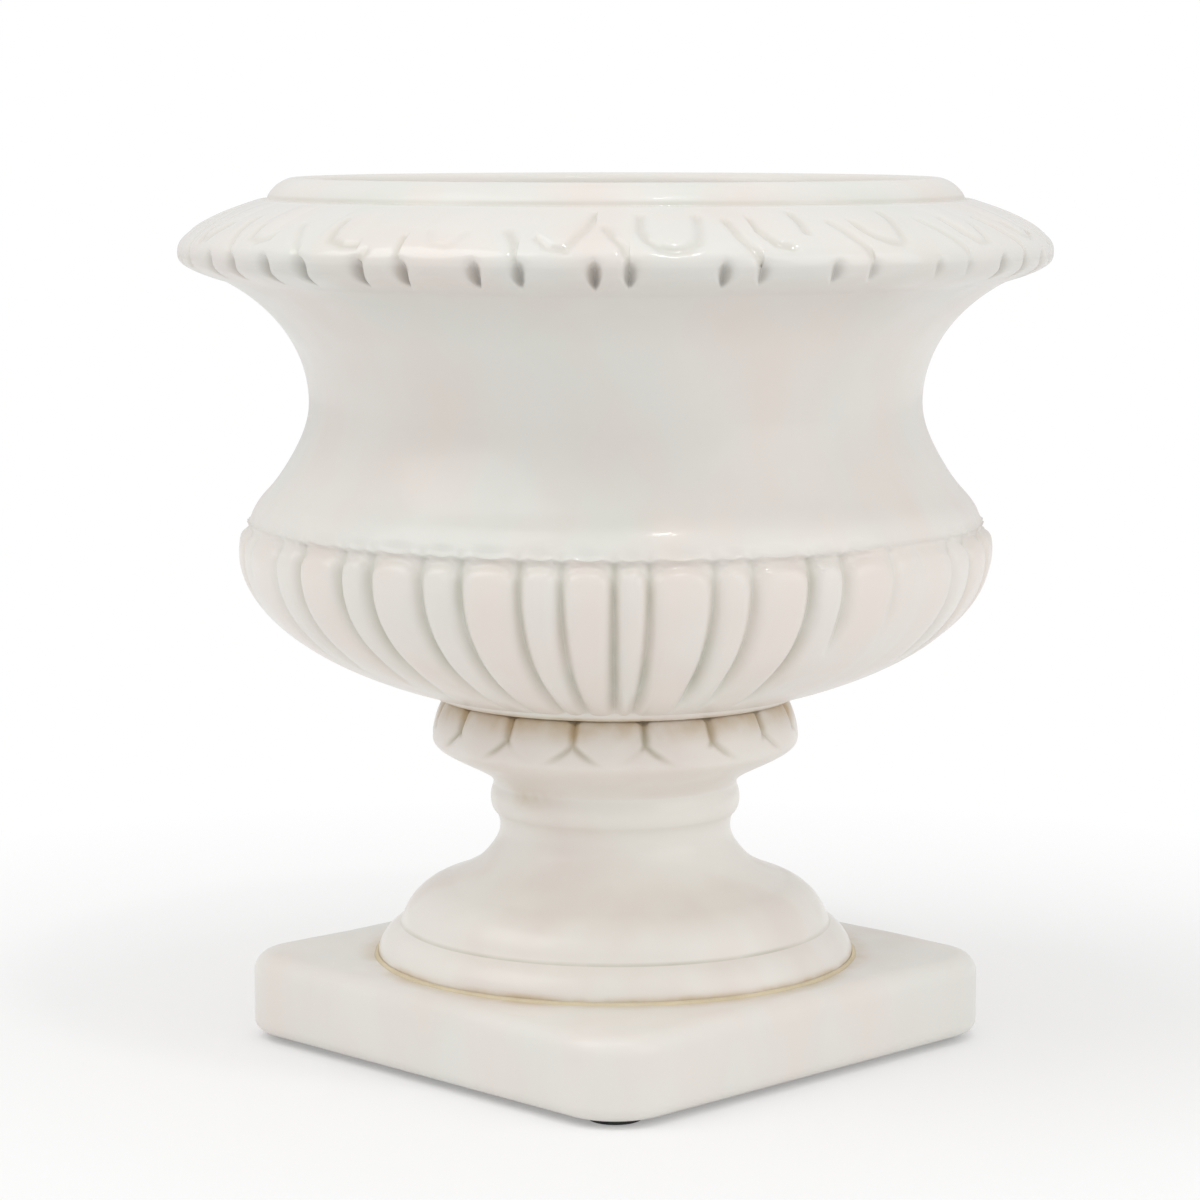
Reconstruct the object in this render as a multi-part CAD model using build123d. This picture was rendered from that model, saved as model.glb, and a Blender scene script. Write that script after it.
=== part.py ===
from build123d import *
import os
from math import acos, asin, cos, degrees, radians, sin, sqrt

os.makedirs("parts", exist_ok=True)

# A footed urn on a square plinth, in millimetres.
# Origin: centre of the footprint, on the surface the urn stands on. +Z up, plinth sides along X and Y.
# Three glazed castings are stacked and drawn together by one tie rod: plinth, pedestal, bowl.

# Angles of the ornament, in degrees about +Z. The show corner is the plinth corner turned to the viewer.
full_turn = 360.0
show_corner_angle = -45.0
corner_count = 4

# Cuts run past the faces that they open by this much
overrun = 2.0

# Plinth
plinth_side = 258.0
plinth_height = 38.0
plinth_corner_radius = 29.0
plinth_top_edge_radius = 9.0
plinth_bottom_edge_radius = 6.0
plinth_wall = 16.0
plinth_web = 13.0
plinth_boss_height = 5.0
plinth_hollow_fillet = 6.0

# Rubber pads under the plinth corners
pad_radius = 12.0
pad_thickness = 3.0
pad_edge_radius = 0.8
pad_inset = 24.0

# Bedding rings in the two joints between castings
bed_thickness = 1.2
bed_margin = 1.5

# Pedestal, from the foot up. Each rise or step is counted from the point before it.
foot_radius = 111.8
fascia_rise = 13.7
fascia_step = 10.4
fascia_crown = 2.0
ledge_step = 0.9
shoulder_rise = 20.1
shoulder_step = 20.5
shoulder_crown = 4.4
cavetto_rise = 10.8
cavetto_step = 18.0
stem_rise = 14.8
stem_step = 8.1
stem_top_rise = 7.0
stem_top_flare = 1.7
stem_hollow = 0.4
ring_projection = 1.2
ring_thickness = 13.1
ring_crown = 1.7
ring_gap = 0.9
knop_rise = 20.7
knop_projection = 28.8
knop_top_rise = 19.7
knop_top_step = 5.8
stem_wall = 13.9
bore_start_drop = 7.4
foot_wall = 19.8
foot_hollow_depth = 8.0
foot_hollow_crown = 3.0

# Petals carved round the knop
petal_count = 16
petal_phase = 9.2
petal_gap_angle = 1.4
petal_depth = 3.4
petal_start_rise = 15.1
petal_round = 12.0

# Bowl, from its foot ring up. Each rise or step is counted from the point before it.
bowl_foot_height = 2.0
bowl_foot_overhang = 1.7
spigot_height = 6.0
seat_clearance = 1.0
bowl_wall = 12.5
bowl_floor = 16.5
belly_radius = 174.6
belly_rise = 66.8
belly_foot_step = 6.1
gadroon_top_rise = 14.6
gadroon_depth = 5.5
gadroon_round = 11.0
roll_inset = 5.2
roll_rise = 11.2
roll_step = 7.2
roll_crown = 0.6
ogee_rise = 13.0
ogee_step = 9.9
neck_rise = 29.2
neck_step = 10.8
flare_rise = 56.0
flare_projection = 38.1
flare_turn_angle = 55.4
rim_rise = 12.2
rim_projection = 22.0
lip_foot_rise = 26.0
lip_foot_step = 42.6
lip_rise = 8.3
lip_step = 10.5
lip_crown = 1.2
mouth_drop = 4.3
mouth_step = 5.0
mouth_crown = 0.8
brim_width = 1.5

# Lobes round the rim: a narrow dart and a wide egg in each pair, spaced by eye as in hand work
pair_count = 24
rim_notch_depth = 8.5
rim_notch_angle = 1.3
rim_phase = 0.3
dart_angles = (6.4, 6.7, 6.2, 5.4, 4.2, 4.6, 5.2, 5.8)
dart_shift_angles = (0.2, -0.7, -0.1, 0.3, -0.7, 0.2, -0.2, 0.9)

# Gadroons round the belly: a narrow and a wide lobe in each pair, spaced by eye as in hand work
gadroon_gap_angle = 0.6
gadroon_phase = 2.7
narrow_gadroon_angles = (6.6, 6.1, 6.3, 5.8, 4.8, 5.7, 6.0, 5.9)
gadroon_shift_angles = (-1.4, 0.7, 1.3, 1.5, -0.4, -1.0, -0.6, -0.1)

# Tie rod and its fastenings
rod_radius = 6.0
rod_chamfer = 1.0
rod_tail = 2.0
rod_hole_clearance = 1.0
rod_end_gap = 0.3
thread_clearance = 0.05
nut_sides = 6
nut_width = 19.0
nut_height = 10.0
nut_chamfer = 1.0
cap_dome_height = 7.0
cap_dome_inset = 1.0
upper_washer_radius = 20.0
upper_washer_thickness = 2.5
upper_seal_radius = 22.0
upper_seal_thickness = 3.0
lower_washer_radius = 28.0
lower_washer_thickness = 3.0
lower_cushion_radius = 31.0
lower_cushion_thickness = 3.0

# Places along the pedestal, above its own foot
fascia_radius = foot_radius - fascia_step
shoulder_height = fascia_rise + shoulder_rise
shoulder_radius = fascia_radius - ledge_step - shoulder_step
cavetto_height = shoulder_height + cavetto_rise
cavetto_radius = shoulder_radius - cavetto_step
stem_height = cavetto_height + stem_rise
stem_radius = cavetto_radius - stem_step
ring_bottom_height = stem_height + stem_top_rise
stem_top_radius = stem_radius + stem_top_flare
ring_edge_radius = stem_top_radius + ring_projection
ring_top_height = ring_bottom_height + ring_thickness
knop_bottom_height = ring_top_height + ring_gap
knop_height = knop_bottom_height + knop_rise
knop_radius = ring_edge_radius + knop_projection
petal_bottom_height = knop_bottom_height + petal_start_rise
pedestal_height = knop_height + knop_top_rise
knop_top_radius = knop_radius - knop_top_step
pedestal_bore_radius = stem_radius - stem_wall
bore_start_height = stem_height - bore_start_drop
foot_hollow_radius = foot_radius - foot_wall

# Places along the bowl, above its own foot ring
bowl_foot_radius = knop_top_radius + bowl_foot_overhang
belly_height = bowl_foot_height + belly_rise
belly_turn_angle = degrees(acos((bowl_foot_radius + belly_foot_step) / belly_radius))
belly_drop = belly_rise / sin(radians(belly_turn_angle))
gadroon_top_height = belly_height + gadroon_top_rise
roll_radius = belly_radius - roll_inset
roll_top_height = gadroon_top_height + roll_rise
roll_top_radius = roll_radius - roll_step
ogee_height = roll_top_height + ogee_rise
ogee_radius = roll_top_radius - ogee_step
neck_height = ogee_height + neck_rise
neck_radius = ogee_radius - neck_step
inner_neck_radius = neck_radius - bowl_wall
rim_bottom_height = neck_height + flare_rise
rim_bottom_radius = neck_radius + flare_projection
rim_height = rim_bottom_height + rim_rise
rim_radius = rim_bottom_radius + rim_projection
lip_foot_height = rim_height + lip_foot_rise
lip_foot_radius = rim_radius - lip_foot_step
bowl_height = lip_foot_height + lip_rise
lip_radius = lip_foot_radius - lip_step
mouth_height = bowl_height - mouth_drop
mouth_radius = lip_radius - mouth_step

# Heights of the stack above the floor
plinth_z = pad_thickness
plinth_top_z = plinth_z + plinth_height
pedestal_z = plinth_top_z + bed_thickness
pedestal_top_z = pedestal_z + pedestal_height
bowl_z = pedestal_top_z + bed_thickness
upper_seal_z = bowl_z + bowl_floor
upper_washer_z = upper_seal_z + upper_seal_thickness
cap_nut_z = upper_washer_z + upper_washer_thickness
rod_top_z = cap_nut_z + nut_height - rod_end_gap
lower_cushion_z = plinth_top_z - plinth_web - lower_cushion_thickness
lower_washer_z = lower_cushion_z - lower_washer_thickness
lower_nut_z = lower_washer_z - nut_height
rod_bottom_z = lower_nut_z - rod_tail

# Seats shared by neighbouring pieces
spigot_radius = pedestal_bore_radius - seat_clearance
boss_radius = foot_hollow_radius - seat_clearance
rod_hole_radius = rod_radius + rod_hole_clearance
nut_bore_radius = rod_radius + thread_clearance
foot_bed_radius = foot_radius - bed_margin
bowl_bed_radius = knop_top_radius - petal_depth - bed_margin

# How the sections of each carved band are spaced, and how full they are there
lobe_end_width_share = 0.5
knop_side_section_shares = (0, 0.25, 0.5, 0.75, 1)
petal_section_shares = (0.12, 0.35, 0.65, 1)
knop_top_section_shares = (0.4, 0.7, 1)
gadroon_section_shares = (1, 0.93, 0.84, 0.72, 0.58, 0.42, 0.26, 0.1)
gadroon_end_section_shares = (1, 0.55, 0.25, 0.08, 0)
rim_lower_section_shares = (1, 0.8, 0.6, 0.35, 0)
rim_lower_notch_shares = (0, 0.5, 0.9, 1, 1)
rim_upper_section_shares = (0.14, 0.28, 0.42, 0.56, 0.75, 1)
rim_upper_notch_shares = (0.95, 0.6, 0.25, 0, 0, 0)
ogee_start_slope = 1.0
cavetto_start_slope = 0.55


def polar(radius, angle, height):
    """A point at that radius, angle in degrees and height."""
    return Vector(radius * cos(radians(angle)), radius * sin(radians(angle)), height)


def bulged(start, end, crown):
    """The middle point of an arc from start to end that stands crown to the right of the way there."""
    across = (end[1] - start[1], start[0] - end[0])
    length = sqrt(across[0] ** 2 + across[1] ** 2)
    return (
        (start[0] + end[0]) / 2 + crown * across[0] / length,
        (start[1] + end[1]) / 2 + crown * across[1] / length,
    )


def line(start, end):
    """A straight side of a profile between two points, each (radius, height)."""
    return Edge.make_line(Vector(start[0], 0, start[1]), Vector(end[0], 0, end[1]))


def arc(start, end, crown):
    """A side of a profile from start to end that bulges by crown to the right of the way there."""
    points = (start, bulged(start, end, crown), end)
    return Edge.make_three_point_arc(*[Vector(radius, 0, height) for radius, height in points])


def curve(points, start_direction, end_direction):
    """A smooth side of a profile through the points, leaving and arriving in the two directions."""
    places = [Vector(radius, 0, height) for radius, height in points]
    directions = [Vector(along, 0, up) for along, up in (start_direction, end_direction)]
    return Edge.make_spline(places, tangents=directions)


def turned(edges):
    """The solid that a closed profile makes about the Z axis."""
    return Solid.revolve(Face(Wire(edges)), full_turn, Axis.Z)


def ring(outer_radius, inner_radius, thickness, z):
    """A flat ring such as a washer, standing on height z."""
    top = z + thickness
    corners = ((inner_radius, z), (outer_radius, z), (outer_radius, top), (inner_radius, top))
    return turned([line(start, end) for start, end in zip(corners, corners[1:] + corners[:1])])


def lobed_loft(lobes, sections):
    """A solid whose level sections are rings of lobes.

    lobes is a list of (start angle, end angle), in order round the ring.
    sections holds (height, floor radius, crest radius, width share) from the bottom up.
    """
    wires = []
    for height, floor_radius, crest_radius, width_share in sections:
        spans = []
        for start, end in lobes:
            middle = (start + end) / 2
            half = (end - start) / 2 * width_share
            spans.append((middle - half, middle, middle + half))
        edges = []
        for k, (start, middle, end) in enumerate(spans):
            last = k == len(spans) - 1
            next_start = spans[0][0] + full_turn if last else spans[k + 1][0]
            lobe_start = polar(floor_radius, start, height)
            lobe_end = polar(floor_radius, end, height)
            gap_end = polar(floor_radius, spans[0][0] if last else next_start, height)
            edges.append(Edge.make_three_point_arc(lobe_start, polar(crest_radius, middle, height), lobe_end))
            gap_middle = polar(floor_radius, (end + next_start) / 2, height)
            edges.append(Edge.make_three_point_arc(lobe_end, gap_middle, gap_end))
        wires.append(Wire(edges))
    return Solid.make_loft(wires, ruled=True)


def paired_lobes(phase, narrow_angles, shift_angles, gap_angle):
    """Start and end angles of alternating narrow and wide lobes round the ring."""
    pitch = full_turn / pair_count
    rhythm = len(narrow_angles)
    narrow = []
    for k in range(pair_count):
        centre = show_corner_angle + phase + pitch * (k - rhythm // 2) + shift_angles[k % rhythm]
        half = narrow_angles[k % rhythm] / 2
        narrow.append((centre - half, centre + half))
    lobes = []
    for k, (start, end) in enumerate(narrow):
        next_start = narrow[k + 1][0] if k + 1 < pair_count else narrow[0][0] + full_turn
        lobes.append((start + gap_angle / 2, end - gap_angle / 2))
        lobes.append((end + gap_angle / 2, next_start - gap_angle / 2))
    return lobes


def make_plinth():
    """Square slab with softened edges, a locating boss on top and a round hollow beneath."""
    slab = Pos(0, 0, plinth_height / 2) * Box(plinth_side, plinth_side, plinth_height)
    slab = fillet(slab.edges().filter_by(Axis.Z), plinth_corner_radius)
    slab = fillet(slab.faces().sort_by(Axis.Z)[-1].edges(), plinth_top_edge_radius)
    slab = fillet(slab.faces().sort_by(Axis.Z)[0].edges(), plinth_bottom_edge_radius)
    hollow_radius = plinth_side / 2 - plinth_wall
    hollow_top = plinth_height - plinth_web
    boss = ring(boss_radius, rod_hole_radius, plinth_boss_height + plinth_web, hollow_top)
    hollow = Pos(0, 0, -overrun) * Solid.make_cylinder(hollow_radius, hollow_top + overrun)
    hollow = fillet(hollow.edges().sort_by(Axis.Z)[-1], plinth_hollow_fillet)
    hole = Pos(0, 0, -overrun) * Solid.make_cylinder(rod_hole_radius, plinth_height + overrun * 2)
    return Pos(0, 0, plinth_z) * (slab - hollow - hole + boss)


def make_pad(corner):
    """One round rubber pad under a plinth corner, numbered anticlockwise from the show corner."""
    angle = show_corner_angle + corner * full_turn / corner_count
    reach = (plinth_side / 2 - pad_inset) * sqrt(2)
    pad = Solid.make_cylinder(pad_radius, pad_thickness)
    pad = fillet(pad.edges().sort_by(Axis.Z)[0], pad_edge_radius)
    return Pos(*polar(reach, angle, 0)) * pad


def pedestal_profile():
    """Sides of the pedestal's plain part, from the foot up to the underside of its knop."""
    foot = (foot_radius, 0)
    fascia = (fascia_radius, fascia_rise)
    ledge = (fascia_radius - ledge_step, fascia_rise)
    shoulder = (shoulder_radius, shoulder_height)
    cavetto = (cavetto_radius, cavetto_height)
    stem = (stem_radius, stem_height)
    stem_top = (stem_top_radius, ring_bottom_height)
    ring_bottom = (ring_edge_radius, ring_bottom_height)
    ring_top = (ring_edge_radius, ring_top_height)
    knop_bottom = (ring_edge_radius, knop_bottom_height)
    return [
        arc(foot, fascia, fascia_crown),
        line(fascia, ledge),
        arc(ledge, shoulder, shoulder_crown),
        curve((shoulder, cavetto, stem), (-1, cavetto_start_slope), (0, 1)),
        arc(stem, stem_top, -stem_hollow),
        line(stem_top, ring_bottom),
        arc(ring_bottom, ring_top, ring_crown),
        line(ring_top, knop_bottom),
        line(knop_bottom, (0, knop_bottom_height)),
        line((0, knop_bottom_height), (0, 0)),
        line((0, 0), foot),
    ]


def knop_radius_at(height):
    """Crest radius of the knop: an S-shaped underside and a gently drawn-in top."""
    if height > knop_height:
        share = (height - knop_height) / knop_top_rise
        return knop_radius - knop_top_step * share ** 2
    share = (height - knop_bottom_height) / knop_rise
    return ring_edge_radius + knop_projection * share ** 2 * (3 - 2 * share)


def lobe_end(share):
    """How deep and how wide a lobe is at that share of the way from its tip to its full size."""
    fullness = sqrt(1 - (1 - share) ** 2)
    return fullness, lobe_end_width_share + (1 - lobe_end_width_share) * fullness


def knop_sections():
    """Level sections of the knop, plain below and petalled above."""
    sections = []
    for share in knop_side_section_shares:
        height = knop_bottom_height + petal_start_rise * share
        radius = knop_radius_at(height)
        sections.append((height, radius, radius, lobe_end_width_share))
    for share in petal_section_shares:
        height = petal_bottom_height + petal_round * share
        radius = knop_radius_at(height)
        fullness, width_share = lobe_end(share)
        sections.append((height, radius - petal_depth * fullness, radius, width_share))
    top = petal_bottom_height + petal_round
    for share in knop_top_section_shares:
        height = top + (pedestal_height - top) * share
        radius = knop_radius_at(height)
        sections.append((height, radius - petal_depth, radius, 1))
    return sections


def make_pedestal():
    """Foot, stem, ring and petalled knop in one hollow casting, open at both ends."""
    pitch = full_turn / petal_count
    first = show_corner_angle + petal_phase
    petals = [
        (first + pitch * k + petal_gap_angle / 2, first + pitch * (k + 1) - petal_gap_angle / 2)
        for k in range(petal_count)
    ]
    knop = lobed_loft(petals, knop_sections())
    foot_edge = (foot_hollow_radius, -overrun)
    foot_top = (foot_hollow_radius, foot_hollow_depth)
    bore = (pedestal_bore_radius, bore_start_height)
    bore_top = (pedestal_bore_radius, pedestal_height + overrun)
    hollow = turned([
        line((0, -overrun), foot_edge),
        line(foot_edge, foot_top),
        arc(foot_top, bore, -foot_hollow_crown),
        line(bore, bore_top),
        line(bore_top, (0, pedestal_height + overrun)),
        line((0, pedestal_height + overrun), (0, -overrun)),
    ])
    return Pos(0, 0, pedestal_z) * (turned(pedestal_profile()) + knop - hollow)


def belly_radius_at(height):
    """Crest radius of the gadroons: an ellipse."""
    return belly_radius * sqrt(1 - ((height - belly_height) / belly_drop) ** 2)


def gadroon_sections():
    """Level sections of the gadroons, from the bowl's foot ring up to their rounded tops."""
    sections = []
    for share in gadroon_section_shares:
        height = belly_height - belly_drop * sin(radians(belly_turn_angle * share))
        sections.append((height, belly_radius_at(height) - gadroon_depth, belly_radius_at(height), 1))
    for share in gadroon_end_section_shares:
        height = gadroon_top_height - gadroon_round * share
        floor_radius = belly_radius_at(height) - gadroon_depth
        fullness, width_share = lobe_end(share)
        sections.append((height, floor_radius, floor_radius + gadroon_depth * fullness, width_share))
    return sections


def rim_sections():
    """Level sections of the lobed rim, from its underside over the widest edge to the foot of the lip."""
    sections = []
    for share, notch_share in zip(rim_lower_section_shares, rim_lower_notch_shares):
        height = rim_height - rim_rise * share
        crest = rim_radius - rim_projection * share ** 2
        sections.append((height, crest - rim_notch_depth * notch_share, crest, 1))
    for share, notch_share in zip(rim_upper_section_shares, rim_upper_notch_shares):
        height = rim_height + lip_foot_rise * share
        crest = rim_radius - lip_foot_step * share ** 2
        sections.append((height, crest - rim_notch_depth * notch_share, crest, 1))
    return sections


def flare_edge():
    """The side of the flare, from the neck up to the rim: part of a quarter ellipse."""
    reach = flare_projection / (1 - cos(radians(flare_turn_angle)))
    rise = flare_rise / sin(radians(flare_turn_angle))
    plane = Plane(origin=(neck_radius + reach, 0, neck_height), x_dir=(1, 0, 0), z_dir=(0, -1, 0))
    half_turn = full_turn / 2
    return Edge.make_ellipse(reach, rise, plane, half_turn - flare_turn_angle, half_turn)


def bell_profile():
    """Sides of the plain bell between the gadroons and the rim."""
    roll_bottom = (roll_radius, gadroon_top_height)
    roll_top = (roll_top_radius, roll_top_height)
    ogee = (ogee_radius, ogee_height)
    neck = (neck_radius, neck_height)
    flare_top = (rim_bottom_radius, rim_bottom_height)
    return [
        line((0, gadroon_top_height), roll_bottom),
        arc(roll_bottom, roll_top, roll_crown),
        curve((roll_top, ogee, neck), (-1, ogee_start_slope), (0, 1)),
        flare_edge(),
        line(flare_top, (0, rim_bottom_height)),
        line((0, rim_bottom_height), (0, gadroon_top_height)),
    ]


def lip_profile():
    """Sides of the half-round lip on top of the rim."""
    lip_foot = (lip_foot_radius, lip_foot_height)
    crest = (lip_radius, bowl_height)
    return [
        line((0, lip_foot_height), lip_foot),
        arc(lip_foot, crest, lip_crown),
        line(crest, (0, bowl_height)),
        line((0, bowl_height), (0, lip_foot_height)),
    ]


def cavity_profile():
    """Sides of the space inside the bowl."""
    inset = gadroon_depth + bowl_wall
    across = belly_radius - inset
    drop = belly_drop - inset
    floor_turn = degrees(asin((belly_height - bowl_floor) / drop))
    floor_edge = (across * cos(radians(floor_turn)), bowl_floor)
    widest = (across, belly_height)
    ridge = (roll_top_radius - bowl_wall, roll_top_height)
    inner_neck = (inner_neck_radius, neck_height)
    mouth = (mouth_radius, mouth_height)
    brim = (lip_radius - brim_width, bowl_height)
    above = (brim[0], bowl_height + overrun)
    plane = Plane(origin=(0, 0, belly_height), x_dir=(1, 0, 0), z_dir=(0, -1, 0))
    return [
        line((0, bowl_floor), floor_edge),
        Edge.make_ellipse(across, drop, plane, full_turn - floor_turn, full_turn),
        curve((widest, ridge, inner_neck), (0, 1), (0, 1)),
        curve((inner_neck, mouth), (0, 1), (mouth_radius - inner_neck_radius, mouth_height - neck_height)),
        arc(mouth, brim, -mouth_crown),
        line(brim, above),
        line(above, (0, above[1])),
        line((0, above[1]), (0, bowl_floor)),
    ]


def make_bowl():
    """Bell-necked bowl with a gadrooned belly and a lobed, everted rim."""
    base = Solid.make_cylinder(bowl_foot_radius, bowl_foot_height)
    spigot = Pos(0, 0, -spigot_height) * Solid.make_cylinder(spigot_radius, spigot_height)
    gadroons = paired_lobes(gadroon_phase, narrow_gadroon_angles, gadroon_shift_angles, gadroon_gap_angle)
    belly = lobed_loft(gadroons, gadroon_sections())
    rim = lobed_loft(paired_lobes(rim_phase, dart_angles, dart_shift_angles, rim_notch_angle), rim_sections())
    rod_hole = Pos(0, 0, -spigot_height - overrun) * Solid.make_cylinder(
        rod_hole_radius, spigot_height + bowl_floor + overrun * 2
    )
    outside = base + spigot + belly + turned(bell_profile()) + rim + turned(lip_profile())
    return Pos(0, 0, bowl_z) * (outside - turned(cavity_profile()) - rod_hole)


def nut_blank(upward):
    """A hexagon prism with the corners of its free end turned off."""
    corner_radius = nut_width / 2 / cos(radians(full_turn / 2 / nut_sides))
    prism = extrude(RegularPolygon(corner_radius, nut_sides), nut_height)
    blank = Solid.make_cylinder(corner_radius, nut_height)
    free_edge = blank.edges().filter_by(GeomType.CIRCLE).sort_by(Axis.Z)[-1 if upward else 0]
    return prism & chamfer(free_edge, nut_chamfer)


def make_lower_nut():
    """Open hexagon nut that draws the stack together from inside the plinth."""
    bore = Pos(0, 0, -overrun) * Solid.make_cylinder(nut_bore_radius, nut_height + overrun * 2)
    return Pos(0, 0, lower_nut_z) * (nut_blank(False) - bore)


def make_cap_nut():
    """Domed nut that closes over the rod's upper end, inside the bowl."""
    dome_radius = nut_width / 2 - cap_dome_inset
    ball_radius = (dome_radius ** 2 + cap_dome_height ** 2) / (2 * cap_dome_height)
    half_chord = sqrt(dome_radius ** 2 + cap_dome_height ** 2) / 2
    edge = (dome_radius, nut_height)
    top = (0, nut_height + cap_dome_height)
    dome = turned([
        line((0, nut_height), edge),
        arc(edge, top, ball_radius - sqrt(ball_radius ** 2 - half_chord ** 2)),
        line(top, (0, nut_height)),
    ])
    bore = Pos(0, 0, -overrun) * Solid.make_cylinder(nut_bore_radius, nut_height + overrun)
    return Pos(0, 0, cap_nut_z) * (nut_blank(True) + dome - bore)


def make_rod():
    """The plain outline of the threaded tie rod."""
    rod = Solid.make_cylinder(rod_radius, rod_top_z - rod_bottom_z)
    rod = chamfer(rod.edges().filter_by(GeomType.CIRCLE), rod_chamfer)
    return Pos(0, 0, rod_bottom_z) * rod


def save(shape, name):
    """Writes one node and prints its volume."""
    export_step(shape, f"parts/{name}.step")
    print(name, "solids", len(shape.solids()), "volume", round(shape.volume), "valid", shape.is_valid)


def main():
    save(make_plinth(), "plinth")
    for corner in range(corner_count):
        save(make_pad(corner), f"pad_{corner + 1}")
    save(ring(foot_bed_radius, foot_hollow_radius, bed_thickness, plinth_top_z), "foot_bed")
    save(make_pedestal(), "pedestal")
    save(ring(bowl_bed_radius, pedestal_bore_radius, bed_thickness, pedestal_top_z), "bowl_bed")
    save(make_bowl(), "bowl")
    save(make_rod(), "tie_rod")
    rings_on_rod = (
        ("bowl_seal", upper_seal_radius, upper_seal_thickness, upper_seal_z),
        ("upper_washer", upper_washer_radius, upper_washer_thickness, upper_washer_z),
        ("lower_cushion", lower_cushion_radius, lower_cushion_thickness, lower_cushion_z),
        ("lower_washer", lower_washer_radius, lower_washer_thickness, lower_washer_z),
    )
    for name, radius, thickness, z in rings_on_rod:
        save(ring(radius, rod_hole_radius, thickness, z), name)
    save(make_cap_nut(), "cap_nut")
    save(make_lower_nut(), "lower_nut")


if __name__ == "__main__":
    main()
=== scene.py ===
import math

import bpy
import numpy as np
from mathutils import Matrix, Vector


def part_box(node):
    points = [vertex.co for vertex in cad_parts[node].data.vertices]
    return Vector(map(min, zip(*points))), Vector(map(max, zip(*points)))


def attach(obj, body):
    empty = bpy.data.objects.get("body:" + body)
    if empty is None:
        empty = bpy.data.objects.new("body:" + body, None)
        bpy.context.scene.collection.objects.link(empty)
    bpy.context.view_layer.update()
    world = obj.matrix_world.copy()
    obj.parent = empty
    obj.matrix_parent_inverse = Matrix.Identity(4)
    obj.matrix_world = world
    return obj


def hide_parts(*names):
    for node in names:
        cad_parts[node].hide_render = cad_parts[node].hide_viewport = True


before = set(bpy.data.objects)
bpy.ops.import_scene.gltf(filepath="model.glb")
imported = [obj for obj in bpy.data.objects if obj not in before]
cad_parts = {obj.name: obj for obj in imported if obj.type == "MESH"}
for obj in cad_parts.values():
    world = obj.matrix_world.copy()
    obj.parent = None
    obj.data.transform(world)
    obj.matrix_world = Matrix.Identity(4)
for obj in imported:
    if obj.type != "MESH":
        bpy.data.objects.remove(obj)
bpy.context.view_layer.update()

# A white glazed urn: a gadrooned bowl with a lobed rim, a petalled pedestal and a square plinth.
# Sizes are in millimetres and angles in degrees. Meshes are written in metres, in the frame of the solids.
MM = 0.001

# Places read from the frame
pad_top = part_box("pad_1")[1].z / MM
plinth_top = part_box("foot_bed")[0].z / MM
plinth_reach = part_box("plinth")[1].x / MM
pedestal_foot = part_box("pedestal")[0].z / MM
pedestal_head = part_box("pedestal")[1].z / MM
bowl_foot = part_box("bowl_bed")[1].z / MM
bowl_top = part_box("bowl")[1].z / MM
spigot_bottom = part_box("bowl")[0].z / MM
rim_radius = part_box("bowl")[1].x / MM

# A whole turn, and where the plinth's corner that faces the camera lies
full_turn = 360.0
front_angle = -45.0

# The map for each mesh's texture: the turn of its seam, and its margin as a share of its side
map_seam_angle = -110.0
map_margin_share = 0.005

# Bowl, from the foot ring up, heights above the foot ring
bowl_height = bowl_top - bowl_foot
rod_hole_radius = 7.0
spigot_radius = 39.0
bead_foot_radius = 81.5
bead_height = 4.4
bead_bulge = 1.2
bead_top_inset = 1.47
belly_radius = 174.6
belly_height = 68.8
belly_drop = 77.2
belly_turn = 58.4
gadroon_top = 83.4
roll_radius = 169.4
roll_top = (162.2, 94.6)
roll_crown = 0.6
roll_direction = (1.0, -1.0)
ogee = (152.3, 107.6)
neck = (141.5, 136.8)
flare_reach = 88.2
flare_rise = 68.0
flare_turn = 55.4
rim_bottom = (179.6, 192.8)
rim_height = 205.0
lip_foot = (159.0, 231.0)
lip_crest = (148.5, bowl_height)
lip_crown = 1.5
lip_overhang = 0.6
lip_groove_depth = 0.9
lip_groove_width = 2.0
lip_groove_drop = 1.6
brim_width = 1.5
mouth = (143.5, 235.0)
mouth_crown = 0.8
inner_neck = (129.0, 136.8)
inner_ridge = (149.7, 94.6)
inner_belly = (156.6, 59.2)
floor_height = 16.5

# The two joints: how far the glaze has run down over each, and the gap behind it to the bedding ring
bowl_squeeze = 1.0
foot_gap = 0.05
foot_squeeze = pedestal_foot - plinth_top - foot_gap
bed_gap = 0.4

# Jointing compound squeezed out round the pedestal's foot
fillet_height = 1.3
fillet_width = 1.6
fillet_depth = 0.8

# Lobes of the rim: a narrow dart and a wide egg in each pair, spaced as listed
pair_count = 24
rim_phase = 0.3
dart_angles = (6.4, 6.7, 6.2, 5.4, 4.2, 4.6, 5.2, 5.8)
dart_shift_angles = (0.2, -0.7, -0.1, 0.3, -0.7, 0.2, -0.2, 0.9)
notch_shares = (
    (0.8, 0.8), (1.0, 1.0), (1.0, 0.95), (0.95, 0.9), (1.05, 0.9), (0.85, 0.65), (0.6, 0.5), (0.4, 0.35),
)
notch_depth = 4.6
notch_half_width = 2.8
notch_blend = 1.3
notch_top = 211.4
notch_top_fade = 8.0
notch_undercut = 3.4
notch_undercut_fade = 6.0
# Painted shade in the notches, and how deep a cut gets all of it
notch_shade = 1.6
notch_shade_depth = 4.0
edge_ease = 1.0
edge_round = 4.4
edge_round_power = 2.5

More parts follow.
